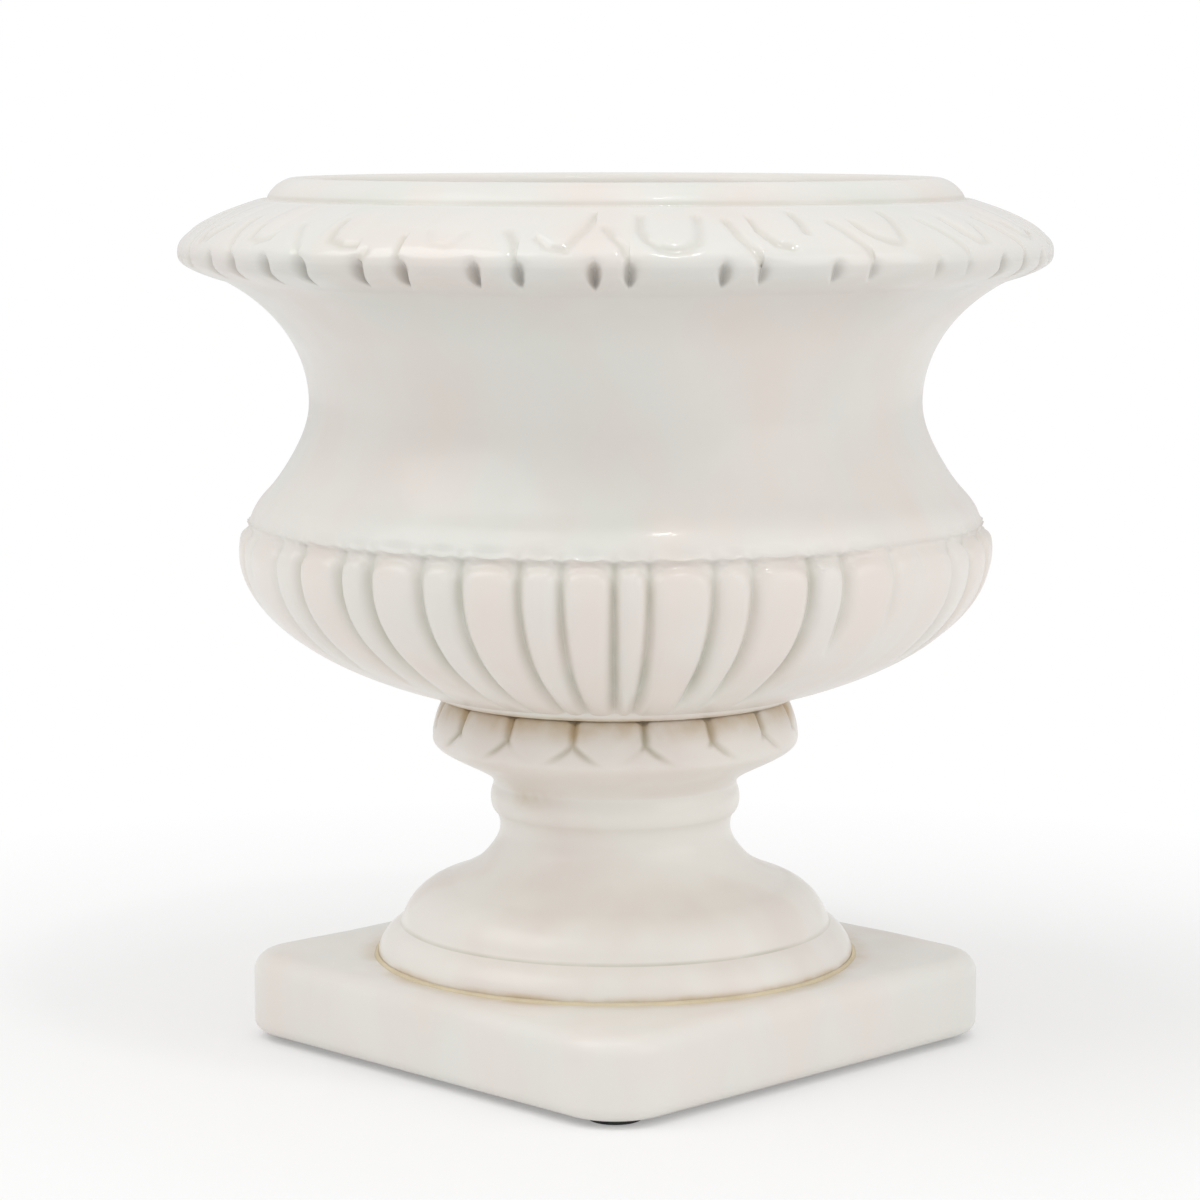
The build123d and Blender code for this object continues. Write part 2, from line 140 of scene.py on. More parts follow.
# Eggs and darts carved by hand on the top of the rim. Each lobe of the rhythm has its own strokes: a depth,
# then places on the lobe, across from -1 to 1 and up from 0 at the edge to 1 at the lip.
egg_strokes = (
    ((0.8, (-0.5, 0.45), (-0.28, 0.27), (0.3, 0.22), (0.9, 0.3)),),
    ((1.0, (-0.35, 0.6), (-0.25, 0.44), (-0.1, 0.27), (0.43, 0.21), (0.9, 0.22)),),
    ((0.3, (-0.5, 0.42), (-0.2, 0.25), (0.3, 0.22), (0.6, 0.4)),),
    ((1.5, (-0.55, 0.34), (-0.25, 0.22), (0.22, 0.18)),
     (1.1, (0.22, 0.18), (0.5, 0.36), (0.76, 0.52), (0.96, 0.8))),
    ((1.3, (-0.72, 0.75), (-0.76, 0.48), (-0.63, 0.32), (-0.37, 0.2), (-0.08, 0.17),
      (0.2, 0.19), (0.48, 0.28), (0.56, 0.48), (0.62, 0.74)),),
    ((1.2, (-0.96, 0.7), (-0.92, 0.51), (-0.73, 0.35), (-0.53, 0.24), (-0.2, 0.2)),
     (1.2, (0.5, 0.8), (0.48, 0.59), (0.44, 0.42))),
    ((0.9, (-0.9, 0.6), (-0.81, 0.43), (-0.62, 0.32), (-0.4, 0.25), (-0.1, 0.22)),
     (0.9, (0.45, 0.78), (0.42, 0.66), (0.17, 0.39), (0.04, 0.25))),
    ((0.7, (-0.6, 0.6), (-0.55, 0.35), (-0.2, 0.2), (0.3, 0.22), (0.6, 0.45)),),
)
dart_strokes = (
    ((0.7, (-0.1, 0.6), (0.3, 0.35), (0.95, 0.1)),),
    ((0.7, (-0.2, 0.5), (0.4, 0.3), (0.95, 0.1)),),
    ((0.9, (0.85, 0.35), (0.97, 0.1)), (0.8, (-0.6, 0.14), (-0.9, 0.02))),
    ((1.1, (0.3, 0.44), (0.75, 0.27), (0.97, 0.08)),),
    ((1.3, (-0.4, 0.52), (0.05, 0.36), (0.62, 0.24), (0.97, 0.06)),),
    ((1.3, (-0.3, 0.66), (0.0, 0.36), (0.57, 0.17), (0.97, 0.03)),),
    ((0.8, (-0.2, 0.6), (0.3, 0.35), (0.92, 0.1)),),
    ((0.6, (-0.2, 0.6), (0.3, 0.35), (0.92, 0.1)),),
)
stroke_half_width = 2.0
stroke_scale = 1.15
stroke_fade_share = 0.12
egg_swell = 0.5
egg_swell_share = 0.7

# Gadroons of the belly: a narrow and a wide lobe in each pair, spaced as listed
gadroon_phase = 2.7
narrow_gadroon_angles = (6.7, 5.9, 6.3, 6.1, 5.0, 5.8, 5.8, 5.9)
gadroon_shift_angles = (0.2, 1.3, 1.4, 1.5, -0.4, -0.7, -0.7, -0.6)
gadroon_depth = 4.9
gadroon_groove_width = 2.7
gadroon_taper_share = 0.5
gadroon_dome_share = 0.3
gadroon_dome_power = 3
gadroon_top_margin = 2.0
gadroon_top_fade = 5.0
# The groove across the top of each gadroon, which arches down at both sides
gadroon_end_drop = 2.6
gadroon_end_width = 3.4
gadroon_end_arch = 6.0
gadroon_end_margin = 1.0
gadroon_arch_power = 2.5
gadroon_arch_full = 0.5
gadroon_end_depth = 0.75
gadroon_end_least = 0.4
# The two grooves beside each narrow gadroon: how deep they are, and where they fade out above the foot ring
gadroon_groove_shares = (
    (0.4, 0.8), (1.0, 1.0), (1.0, 1.0), (1.0, 1.0), (1.1, 1.0), (1.0, 0.9), (1.0, 0.75), (0.3, 0.1),
)
gadroon_groove_ends = ((22, 18), (14, 10), (3, 0), (-4, -5), (-5, -5), (4, 8), (6, 32), (38, 52))
gadroon_groove_fade = 20.0

# Pedestal, from its foot up, heights above its own foot
foot_edge = (111.8, 0.0)
fascia_top = (101.4, 13.7)
fascia_crown = 2.0
ledge = (100.5, 13.7)
shoulder = (80.0, 33.8)
shoulder_crown = 4.4
shoulder_direction = (1.0, -0.55)
cavetto = (62.0, 44.6)
stem = (53.9, 59.4)
stem_top = (55.6, 66.4)
stem_hollow = 0.4
ring_bottom = (56.8, 66.4)
ring_top = (56.8, 79.5)
ring_crown = 1.7
knop_bottom = (56.8, 80.4)
knop_widest = (85.6, 101.1)
knop_top_radius = 79.8
bore_radius = 40.0
bore_start = 52.0
hollow_radius = 92.0
hollow_depth = 8.0
hollow_crown = 3.0

# Petals of the knop
petal_count = 16
petal_phase = 9.2
petal_depth = 2.8
petal_power = 2.6
petal_swell_drop = 6.0
petal_swell_fade = 12.0
petal_groove_share = 0.6
petal_groove_width = 1.9
petal_groove_spread = 0.04
petal_groove_wane = 0.05
petal_end_height = 99.5
petal_end_fade = 7.0
# Each groove between two petals forks into two legs lower down
petal_fork_height = 111.0
petal_fork_slope = 0.62
petal_fork_curve = 1.3
petal_fork_fade = 4.0
# How deep the two legs are below each groove, from the left round to the right, twice round
petal_leg_shares = (
    (1.0, 0.0), (1.0, 0.0), (1.0, 0.1), (0.9, 1.0), (0.2, 1.0), (0.0, 0.8), (0.0, 0.7), (0.0, 0.6),
)

# Plinth
corner_radius = 29.0
top_edge_radius = 9.0
bottom_edge_radius = 6.0
boss_radius = 91.0
boss_height = 5.0
boss_edge = 1.0
underside_radius = 113.0
underside_depth = 25.0
underside_fillet = 6.0

# Marks on the surface, as shares: crevice where the glaze pools, stain by the joints and on one side of the
# ring under the knop, blush on the lobes, painted shade on and under the rim, gloss on the rim, and painted
# light that makes the lower pieces paler.
stroke_crevice = 0.4
lip_crevice = 0.3
gadroon_crevice = 0.65
gadroon_end_crevice = 0.42
petal_crevice = 1.2
ledge_crevice = 0.5
ledge_crevice_change = 0.4
bowl_stain_height = 2.0
foot_stain_height = 3.4
knop_stain_height = 108.0
knop_stain_fade = 11.0
petal_stain = 0.3
ring_stain_angle = -43.0
ring_stain_reach = 10.0
ring_stain_height = 80.0
ring_stain_rise = 4.5
contact_stain = 0.75
contact_stain_reach = 11.0
narrow_blush = 0.35
knop_blush = 0.5
# Painted shade: darker towards the rim's edge, and on the bell, most just under the rim
rim_painted_shade = 0.6
rim_painted_shade_height = 212.0
rim_painted_shade_fade = 8.0
bell_painted_shade = 0.35
bell_painted_shade_height = 165.0
bell_painted_shade_rise = 28.0
bell_painted_shade_bottom = 100.0
bell_painted_shade_fade = 30.0
# Painted light: how much paler the plinth is painted; the pedestal gets all of it
plinth_painted_light = 0.1

# Unevenness of the surfaces: the length of its waves, their height and the seed of their draw
wave_count = 7
wave_spread = (0.7, 1.6)
bowl_waves = (55.0, 0.35, 11)
pedestal_waves = (45.0, 0.3, 23)
plinth_waves = (70.0, 0.5, 31)
plinth_wave_margin = 6.0
plinth_wave_fade = 20.0
plinth_wave_depth = 12.0
fillet_waves = (16.0, 0.35, 47)

# How finely each surface is meshed, how its columns crowd at grooves, every how many of them the plainer
# surfaces keep, and how much glaze rounds its corners
narrow_columns = 26
wide_columns = 38
lobe_crowding = 0.6
lobe_blend = 0.3
petal_columns = 48
petal_crowding = 0.5
plinth_columns = 480
outer_thinning = 2
inner_thinning = 8
fine_step = 0.7
ledge_step = 0.45
bead_step = 1.0
petal_step = 1.0
petal_end_step = 1.1
ring_step = 1.2
rim_step = 1.25
fascia_step = 1.4
carved_step = 1.8
joint_step = 2.0
plain_step = 3.5
inner_step = 7.0
bowl_round = 0.7
pedestal_round = 1.3

# Light: azimuth from the camera's side to the right, elevation, distance and size in metres, power in watts
studio_strength = 0.75
lamps = (
    ("right", 62.0, 24.0, 2.6, 2.0, 10.5),
    ("left", -66.0, 50.0, 2.6, 1.8, 15.0),
    ("top", 0.0, 86.0, 2.4, 1.4, 1.5),
    ("spark", 26.0, 67.0, 2.4, 0.2, 4.0),
)


def smooth(x):
    """0 below 0, 1 above 1, and a smooth rise between."""
    x = np.clip(x, 0, 1)
    return x * x * (3 - 2 * x)


def arc(start, end, crown, count=24):
    """Points of an arc from start to end that bulges by crown to the right of the way there."""
    start, end = np.array(start, float), np.array(end, float)
    chord = end - start
    length = np.hypot(*chord)
    side = np.array((chord[1], -chord[0])) / length
    half_turn = 2 * math.atan2(2 * abs(crown), length)
    radius = length / 2 / math.sin(half_turn)
    centre = (start + end) / 2 - side * math.copysign(radius * math.cos(half_turn), crown)
    turns = np.linspace(-half_turn, half_turn, count)[:, None]
    out = side * math.copysign(1, crown)
    return centre + radius * (np.cos(turns) * out + np.sin(turns) * chord / length)


def line(start, end, count=12):
    """Points of a straight stretch."""
    return np.linspace(start, end, count)


def bend(points, start_direction, end_direction, count=24):
    """Points of a smooth curve through the given points, leaving and arriving in the two directions."""
    points = np.array(points, float)
    spans = np.hypot(*np.diff(points, axis=0).T)
    slopes = [np.array(start_direction) / np.hypot(*start_direction)]
    for k in range(1, len(points) - 1):
        before = (points[k] - points[k - 1]) / spans[k - 1]
        after = (points[k + 1] - points[k]) / spans[k]
        slopes.append((before * spans[k] + after * spans[k - 1]) / (spans[k] + spans[k - 1]))
    slopes.append(np.array(end_direction) / np.hypot(*end_direction))
    made = []
    for k, span in enumerate(spans):
        u = np.linspace(0, 1, count)[:, None]
        made.append(
            points[k] * (2 * u ** 3 - 3 * u ** 2 + 1)
            + points[k + 1] * (3 * u ** 2 - 2 * u ** 3)
            + slopes[k] * span * (u ** 3 - 2 * u ** 2 + u)
            + slopes[k + 1] * span * (u ** 3 - u ** 2)
        )
    return np.concatenate(made)


class Outline:
    """A closed outline in (radius, height), made of named stretches, with its corners softened.

    It runs with the material on its right: up the inside, over the top and down the outside. A row is a
    stretch's name, a radius, a height, and how far the surface there faces outwards and upwards.
    """

    def __init__(self, stretches, softness):
        names, parts, steps = zip(*stretches)
        points = np.concatenate(parts)
        loop = np.concatenate([points, points[:1]])
        lengths = np.r_[0, np.cumsum(np.hypot(*np.diff(loop, axis=0).T))]
        marks = np.r_[0, lengths[np.cumsum([len(part) for part in parts])]]
        counts = [max(2, math.ceil(length / step)) for length, step in zip(np.diff(marks), steps)]
        places = np.concatenate([
            np.linspace(marks[k], marks[k + 1], count, False) for k, count in enumerate(counts)
        ])
        self.names = np.repeat(names, counts)
        self.share = np.concatenate([np.arange(count) / count for count in counts])
        self.length = dict(zip(names, np.diff(marks)))
        per_softness = 4
        reach = 3 * per_softness
        fine = softness / per_softness
        dense = np.arange(0, lengths[-1], fine)
        kernel = np.exp(-np.square(np.arange(-reach, reach + 1) / per_softness) / 2)
        kernel /= kernel.sum()
        soft = []
        for axis in (0, 1):
            values = np.interp(dense, lengths, loop[:, axis])
            wrapped = np.concatenate([values[-reach:], values, values[:reach]])
            soft.append(np.convolve(wrapped, kernel, "valid"))
        self.radius = np.interp(places, dense, soft[0], period=lengths[-1])
        self.height = np.interp(places, dense, soft[1], period=lengths[-1])
        ahead = [np.interp(places + fine, dense, v, period=lengths[-1]) for v in soft]
        behind = [np.interp(places - fine, dense, v, period=lengths[-1]) for v in soft]
        along = np.array(ahead) - np.array(behind)
        along /= np.maximum(np.hypot(*along), 1e-9)
        self.rows = list(zip(self.names, self.radius, self.height, -along[1], along[0]))


def lobe_columns(phase, narrow_angles, shift_angles):
    """Mesh columns round a band of narrow and wide lobes, closer together at the grooves.

    Returns angle, place across the lobe from -1 to 1, degrees from the nearest groove, half the lobe's
    angle, whether the lobe is wide, and the lobe's place in its rhythm.
    """
    pitch = full_turn / pair_count
    rhythm = len(narrow_angles)
    grooves = []
    for k in range(pair_count):
        centre = front_angle + phase + pitch * (k - rhythm // 2) + shift_angles[k % rhythm]
        half = narrow_angles[k % rhythm] / 2
        grooves += [centre - half, centre + half]
    grooves.append(grooves[0] + full_turn)
    columns = []
    for k in range(2 * pair_count):
        count = wide_columns if k % 2 else narrow_columns
        share = np.arange(count) / count
        share = share - lobe_crowding * np.sin(2 * np.pi * share) / (2 * np.pi)
        width = grooves[k + 1] - grooves[k]
        columns.append(np.stack([
            grooves[k] + width * share,
            2 * share - 1,
            width * np.minimum(share, 1 - share),
            np.full(count, width / 2),
            np.full(count, k % 2),
            np.full(count, (k // 2) % rhythm),
        ]))
    return np.concatenate(columns, axis=1)


def ring(angles, radius, height):
    """Points of one ring of a mesh, in millimetres."""
    turns = np.radians(angles)
    height = np.broadcast_to(height, turns.shape)
    return np.stack([radius * np.cos(turns), radius * np.sin(turns), height], axis=1)


def stitch(first, coarse_count, second, fine_count):
    """Faces between two rings, one of which may have several times as many points as the other."""
    if coarse_count == fine_count:
        k = np.arange(coarse_count)
        after = (k + 1) % coarse_count
        return np.stack([first + k, first + after, second + after, second + k], axis=1).tolist()
    times = fine_count // coarse_count
    half = times // 2
    faces = []
    for k in range(coarse_count):
        for step in range(-half, times - half):
            at = (k * times + step) % fine_count
            faces.append([first + k, second + (at + 1) % fine_count, second + at])
        turn = (k * times + times - half) % fine_count
        faces.append([first + k, first + (k + 1) % coarse_count, second + turn])
    return faces


def unroll(mesh, points, rings):
    """Gives the mesh a map for its texture: the turn across, the way along the outline upwards."""
    turn = (np.degrees(np.arctan2(points[:, 1], points[:, 0])) - map_seam_angle) % full_turn / full_turn
    middles = np.array([[np.hypot(*points[:, :2].T).mean(), points[:, 2].mean()] for points in rings])
    steps = np.linalg.norm(np.diff(middles, axis=0, append=middles[:1]), axis=1)
    way = np.repeat(np.r_[0, np.cumsum(steps)[:-1]] / steps.sum(), [len(points) for points in rings])
    corners = np.empty(len(mesh.loops), int)
    mesh.loops.foreach_get("vertex_index", corners)
    starts, counts = np.empty((2, len(mesh.polygons)), int)
    mesh.polygons.foreach_get("loop_start", starts)
    mesh.polygons.foreach_get("loop_total", counts)
    place = np.stack([turn, way], axis=1)[corners]
    width = np.maximum.reduceat(place, starts) - np.minimum.reduceat(place, starts)
    place += (np.repeat(width, counts, axis=0) > 0.5) & (place < 0.5)
    place = map_margin_share + place * (1 - 4 * map_margin_share)
    layer = mesh.uv_layers.new(name="OFBake")
    layer.data.foreach_set("uv", place.astype(np.float32).ravel())


def new_object(name, data):
    """An object of the scene with this mesh, lamp or camera."""
    made = bpy.data.objects.new(name, data)
    bpy.context.scene.collection.objects.link(made)
    return made


def turned_piece(name, rings, marks):
    """One closed mesh through the rings, which make a loop, with a value for each mark at every point."""
    counts = [len(points) for points in rings]
    starts = np.r_[0, np.cumsum(counts)]
    faces = []
    for k, count in enumerate(counts):
        after = (k + 1) % len(rings)
        if counts[after] >= count:
            faces += stitch(starts[k], count, starts[after], counts[after])
        else:
            faces += [face[::-1] for face in stitch(starts[after], counts[after], starts[k], count)]
    points = np.concatenate(rings) * MM
    mesh = bpy.data.meshes.new(name)
    mesh.from_pydata(points.tolist(), [], faces)
    mesh.validate()
    for mark, values in marks.items():
        layer = mesh.attributes.new(mark, "FLOAT", "POINT")
        layer.data.foreach_set("value", np.concatenate(values).astype(np.float32))
    unroll(mesh, np.concatenate(rings), rings)
    mesh.shade_smooth()
    return new_object(name, mesh)


def groove(distance, width):
    """1 at the middle of a groove, falling smoothly to 0 beyond its width."""
    return np.exp(-np.square(distance / width))


def segment_distance(x, y, start, end):
    """Distance from points to a straight line between two points."""
    along = np.array(end, float) - np.array(start, float)
    share = np.clip(((x - start[0]) * along[0] + (y - start[1]) * along[1]) / (along @ along), 0, 1)
    return np.hypot(x - start[0] - share * along[0], y - start[1] - share * along[1])


def by_groove(columns, table):
    """A table's values, left and right of each narrow lobe, at the groove nearest to each column."""
    across, wide, turn = columns[1], columns[4] > 0, columns[5].astype(int)
    values = np.array(table, float)
    left = np.where(wide, values[turn, 1], values[turn, 0])
    right = np.where(wide, values[(turn + 1) % len(values), 0], values[turn, 1])
    return left + (right - left) * smooth((across + lobe_blend) / (2 * lobe_blend))


def rim_edge(columns, radius, height):
    """How far the flutes between the rim's lobes cut in at this place, and how much they are in shade."""
    share = by_groove(columns, notch_shares)
    notch = groove(rim_radius * np.radians(columns[2]), notch_half_width)
    rounding = edge_round * np.abs(columns[1]) ** edge_round_power
    up = smooth((notch_top - height) / notch_top_fade)
    under = notch_undercut * smooth((rim_height - height) / notch_undercut_fade)
    wall = rim_radius + edge_ease - up * share * (edge_ease + (notch_depth + under) * notch + rounding)
    cut = notch_blend * np.logaddexp(0, (radius - wall) / notch_blend)
    return cut, notch * smooth(cut / notch_shade_depth) * up


def carved_strokes(columns, shares, radii, length):
    """Depth carved into the top of the rim at each of its rows, and how much of a crevice it is."""
    across, half_angle, wide, rhythm = columns[1], columns[3], columns[4], columns[5].astype(int)
    depth = np.zeros((len(shares), len(across)))
    mark = np.zeros_like(depth)
    middle = radii.mean()
    for is_wide, table in ((0, dart_strokes), (1, egg_strokes)):
        for turn, strokes in enumerate(table):
            here = (wide == is_wide) & (rhythm == turn)
            half_width = middle * np.radians(half_angle[here][0])
            x = np.broadcast_to(across[here] * half_width, (len(shares), here.sum()))
            y = np.broadcast_to(shares[:, None] * length, x.shape)
            for stroke in strokes:
                points = [(a * half_width, b * length) for a, b in stroke[1:]]
                apart = np.min([segment_distance(x, y, *pair) for pair in zip(points, points[1:])], axis=0)
                cut = stroke_scale * groove(apart, stroke_half_width)
                depth[:, here] = np.maximum(depth[:, here], stroke[0] * cut)
                mark[:, here] = np.maximum(mark[:, here], min(1.0, stroke[0]) * cut)
            if is_wide:
                dome = np.clip(1 - (x / (egg_swell_share * half_width)) ** 2, 0, 1)
                depth[:, here] -= egg_swell * dome * np.sin(np.pi * np.clip(shares[:, None], 0, 1))
    fade = smooth((1 - shares[:, None]) / stroke_fade_share)
    return depth * fade, mark * fade


def gadroon_relief(columns, radius, height):
    """Depth of the grooves round the gadroons, from 0 to 1, and how much of a crevice they are."""
    foot = smooth((height - by_groove(columns, gadroon_groove_ends)) / gadroon_groove_fade)
    top = smooth((gadroon_top + gadroon_top_margin - height) / gadroon_top_fade)
    full = by_groove(columns, gadroon_groove_shares)
    share = full * foot * top
    width = gadroon_groove_width * (1 - gadroon_taper_share + gadroon_taper_share * foot)
    side = groove(radius * np.radians(columns[2]), width)
    dome = gadroon_dome_share * np.abs(columns[1]) ** gadroon_dome_power
    beside = share * ((1 - gadroon_dome_share) * side + dome)
    arch = gadroon_end_arch * np.abs(columns[1]) ** gadroon_arch_power
    end = gadroon_top - gadroon_end_drop - arch * smooth(full / gadroon_arch_full)
    past = smooth((height - end) / gadroon_end_width)
    past = past * smooth((gadroon_top + gadroon_end_margin - height) / gadroon_end_width)
    above = np.maximum(groove(end - height, gadroon_end_width), past) * gadroon_end_depth
    above = above * (gadroon_end_least + (1 - gadroon_end_least) * full)
    return 1 - (1 - beside) * (1 - above), np.maximum(share * side ** 2, gadroon_end_crevice * above)


def belly_arc(radius, drop, start_turn, end_turn, count=60):
    """Points of an ellipse about the belly's middle, between two turns below the widest place."""
    turns = np.radians(np.linspace(start_turn, end_turn, count))
    return np.stack([radius * np.cos(turns), belly_height - drop * np.sin(turns)], axis=1)


def curl(widest, end, count):
    """Points of a parabola from the widest place, where it is upright, to its end."""
    shares = np.linspace(0, 1, count)[:, None]
    return widest + np.subtract(end, widest) * np.hstack([shares ** 2, shares])


def bowl_outline():
    """The bowl's outline: the inside from its drain, the lip, the rim, the bell, the belly and the foot."""
    inner_turn = math.degrees(math.asin((belly_height - floor_height) / inner_belly[1]))
    inner_floor_edge = (inner_belly[0] * math.cos(math.radians(inner_turn)), floor_height)
    brim = (lip_crest[0] - brim_width, bowl_height)
    lip_edge = (lip_foot[0] + lip_overhang, lip_foot[1])
    lip_groove_foot = (lip_edge[0] + lip_groove_width, lip_edge[1] - lip_groove_drop)
    widest = (rim_radius, rim_height)
    # The last two points of the rim's curl give way to the groove
    rim_top = curl(widest, lip_foot, 40)[:-2][::-1]
    turns = np.radians(np.linspace(flare_turn, 0, 40))
    flare = neck + np.stack([flare_reach * (1 - np.cos(turns)), flare_rise * np.sin(turns)], axis=1)
    crest_turn = math.degrees(math.asin((belly_height - gadroon_top) / belly_drop))
    belly_end = belly_arc(belly_radius, belly_drop, crest_turn, belly_turn)
    bead_top = (belly_end[-1][0] - bead_top_inset, bead_height)
    bead_foot = (bead_foot_radius, -bowl_squeeze)
    joint_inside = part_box("bowl_bed")[1].x / MM + bed_gap
    spigot_foot = spigot_bottom - bowl_foot
    return Outline([
        ("floor", line((rod_hole_radius, floor_height), inner_floor_edge), inner_step),
        ("inside", np.concatenate([
            belly_arc(inner_belly[0], inner_belly[1], inner_turn, 0),
            bend([(inner_belly[0], belly_height), inner_ridge, inner_neck], (0, 1), (0, 1)),
            bend([inner_neck, mouth], (0, 1), (mouth[0] - inner_neck[0], mouth[1] - inner_neck[1])),
        ]), inner_step),
        ("mouth", arc(mouth, brim, -mouth_crown), plain_step / 2),
        ("lip", np.concatenate([
            line(brim, lip_crest, 3),
            arc(lip_edge, lip_crest, lip_crown)[::-1],
        ]), rim_step),
        ("lip_groove", arc(lip_edge, lip_groove_foot, lip_groove_depth), fine_step),
        ("rim_top", rim_top, rim_step),
        ("rim_under", curl(widest, rim_bottom, 24), rim_step),
        ("bell", np.concatenate([
            flare,
            bend([neck, ogee, roll_top], (0, -1), roll_direction),
        ]), plain_step),
        ("roll", arc(roll_top, (roll_radius, gadroon_top), -roll_crown), carved_step),
        ("belly", belly_end, carved_step),
        ("bead", arc(bead_top, bead_foot, -bead_bulge), bead_step),
        ("foot", np.concatenate([
            line(bead_foot, (joint_inside, -bowl_squeeze)),
            line((joint_inside, -bowl_squeeze), (joint_inside, 0), 3),
            line((joint_inside, 0), (spigot_radius, 0)),
        ]), joint_step),
        ("spigot", np.concatenate([
            line((spigot_radius, 0), (spigot_radius, spigot_foot)),
            line((spigot_radius, spigot_foot), (rod_hole_radius, spigot_foot)),
        ]), inner_step),
        ("hole", line((rod_hole_radius, spigot_foot), (rod_hole_radius, floor_height)), inner_step),
    ], bowl_round)


def wobble(x, y, z, size, strength, seed):
    """A slow, smooth unevenness, the same on every run, from a few sine waves of about that size."""
    draw = np.random.default_rng(seed)
    total = np.zeros_like(x)
    for _ in range(wave_count):
        way = draw.normal(size=3)
        way *= 2 * np.pi / (size * draw.uniform(*wave_spread)) / np.linalg.norm(way)
        total += np.sin(way[0] * x + way[1] * y + way[2] * z + draw.uniform(0, 2 * np.pi))
    return strength * total / wave_count


def uneven_ring(angles, radius, height, out, waves):
    """Points of one ring, moved by waves as far as the surface there faces outwards."""
    points = ring(angles, radius, height)
    return points + ring(angles, wobble(*points.T, *waves) * out, 0.0)


def make_bowl():
    """The bowl: one casting, carved on the rim and round the belly."""
    outline = bowl_outline()
    rim_columns = lobe_columns(rim_phase, dart_angles, dart_shift_angles)
    belly_columns = lobe_columns(gadroon_phase, narrow_gadroon_angles, gadroon_shift_angles)
    thinned = belly_columns[:, ::outer_thinning]
    rings = []
    marks = {"crevice": [], "stain": [], "blush": [], "painted_shade": [], "gloss": []}
    top = outline.names == "rim_top"
    carved, carved_marks = carved_strokes(
        rim_columns, 1 - outline.share[top], outline.radius[top], outline.length["rim_top"],
    )
    top_start = int(np.argmax(top))
    for k, (name, radius, height, out, up) in enumerate(outline.rows):
        if name in ("lip", "lip_groove", "rim_top", "rim_under"):
            columns = rim_columns
        elif name in ("bell", "roll"):
            mixed = np.clip((height - gadroon_top) / (rim_bottom[1] - gadroon_top), 0, 1)
            columns = rim_columns[:, ::outer_thinning] * mixed + thinned * (1 - mixed)
        elif name in ("belly", "bead"):
            columns = thinned
        else:
            columns = belly_columns[:, ::inner_thinning]
        depth = cut = 0.0
        here = {kind: np.zeros(columns.shape[1]) for kind in marks}
        if name in ("rim_top", "rim_under"):
            cut, mark = rim_edge(columns, radius, height)
            # Painted shade in the notches
            here["painted_shade"] += notch_shade * mark
        if name == "rim_top":
            depth = carved[k - top_start]
            here["crevice"] += stroke_crevice * carved_marks[k - top_start]
            here["gloss"] += 1.0
            # Painted shade towards the rim's edge
            here["painted_shade"] += rim_painted_shade * smooth((rim_painted_shade_height - height) / rim_painted_shade_fade)
        if name == "rim_under":
            # Painted shade all over the rim's underside
            here["painted_shade"] += 1.0
        if name == "lip_groove":
            here["crevice"] += lip_crevice
        if name == "bell":
            # Painted shade on the bell, deepest just under the rim
            risen = smooth((height - bell_painted_shade_height) / bell_painted_shade_rise)
            painted_shade = bell_painted_shade + (1 - bell_painted_shade) * risen
            here["painted_shade"] += painted_shade * smooth((height - bell_painted_shade_bottom) / bell_painted_shade_fade)
        if name in ("belly", "roll"):
            relief, mark = gadroon_relief(thinned, radius, height)
            depth = gadroon_depth * relief
            here["crevice"] += gadroon_crevice * mark
        if name == "belly":
            blush = narrow_blush + (1 - narrow_blush) * columns[4]
            here["blush"] += blush * (1 - np.abs(columns[1]) ** gadroon_dome_power)
        if name in ("bead", "foot"):
            here["stain"] += smooth((bowl_stain_height - height) / bowl_stain_height)
        z = height - depth * up + bowl_foot
        rings.append(uneven_ring(columns[0], radius - cut - depth * out, z, out, bowl_waves))
        for kind, values in here.items():
            marks[kind].append(values)
    return turned_piece("bowl_body", rings, marks)


def pedestal_outline():
    """The pedestal's outline: up the bore, over the knop, down the stem and foot, and back under."""
    top = pedestal_head - pedestal_foot
    joint_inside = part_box("foot_bed")[1].x / MM + bed_gap
    shares = np.linspace(1, 0, 24)[:, None]
    knop_span = np.subtract(knop_widest, knop_bottom)
    knop_under = knop_bottom + knop_span * np.hstack([smooth(shares), shares])
    return Outline([
        ("bore", line((bore_radius, bore_start), (bore_radius, top)), inner_step),
        ("head", line((bore_radius, top), (knop_top_radius, top)), inner_step),
        ("knop_upper", curl(knop_widest, (knop_top_radius, top), 16)[::-1], petal_step),
        ("knop_under", knop_under[1:], petal_end_step),
        ("ring", np.concatenate([
            line(knop_bottom, ring_top, 3),
            arc(ring_bottom, ring_top, ring_crown)[::-1],
        ]), ring_step),
        ("stem", np.concatenate([
            line(ring_bottom, stem_top, 3),
            arc(stem, stem_top, -stem_hollow)[::-1],
            bend([stem, cavetto, shoulder], (0, -1), shoulder_direction),
        ]), carved_step),
        ("shoulder", arc(ledge, shoulder, shoulder_crown)[::-1], carved_step),
        ("ledge", line(ledge, fascia_top, 3), ledge_step),
        ("fascia", np.concatenate([
            arc(foot_edge, fascia_top, fascia_crown)[::-1],
            line(foot_edge, (foot_edge[0], -foot_squeeze), 4),
        ]), fascia_step),
        ("under", np.concatenate([
            line((foot_edge[0], -foot_squeeze), (joint_inside, -foot_squeeze), 3),
            line((joint_inside, -foot_squeeze), (joint_inside, 0), 3),
            line((joint_inside, 0), (hollow_radius, 0)),
        ]), joint_step),
        ("hollow", np.concatenate([
            line((hollow_radius, 0), (hollow_radius, hollow_depth)),
            arc((hollow_radius, hollow_depth), (bore_radius, bore_start), -hollow_crown),
        ]), inner_step),
    ], pedestal_round)


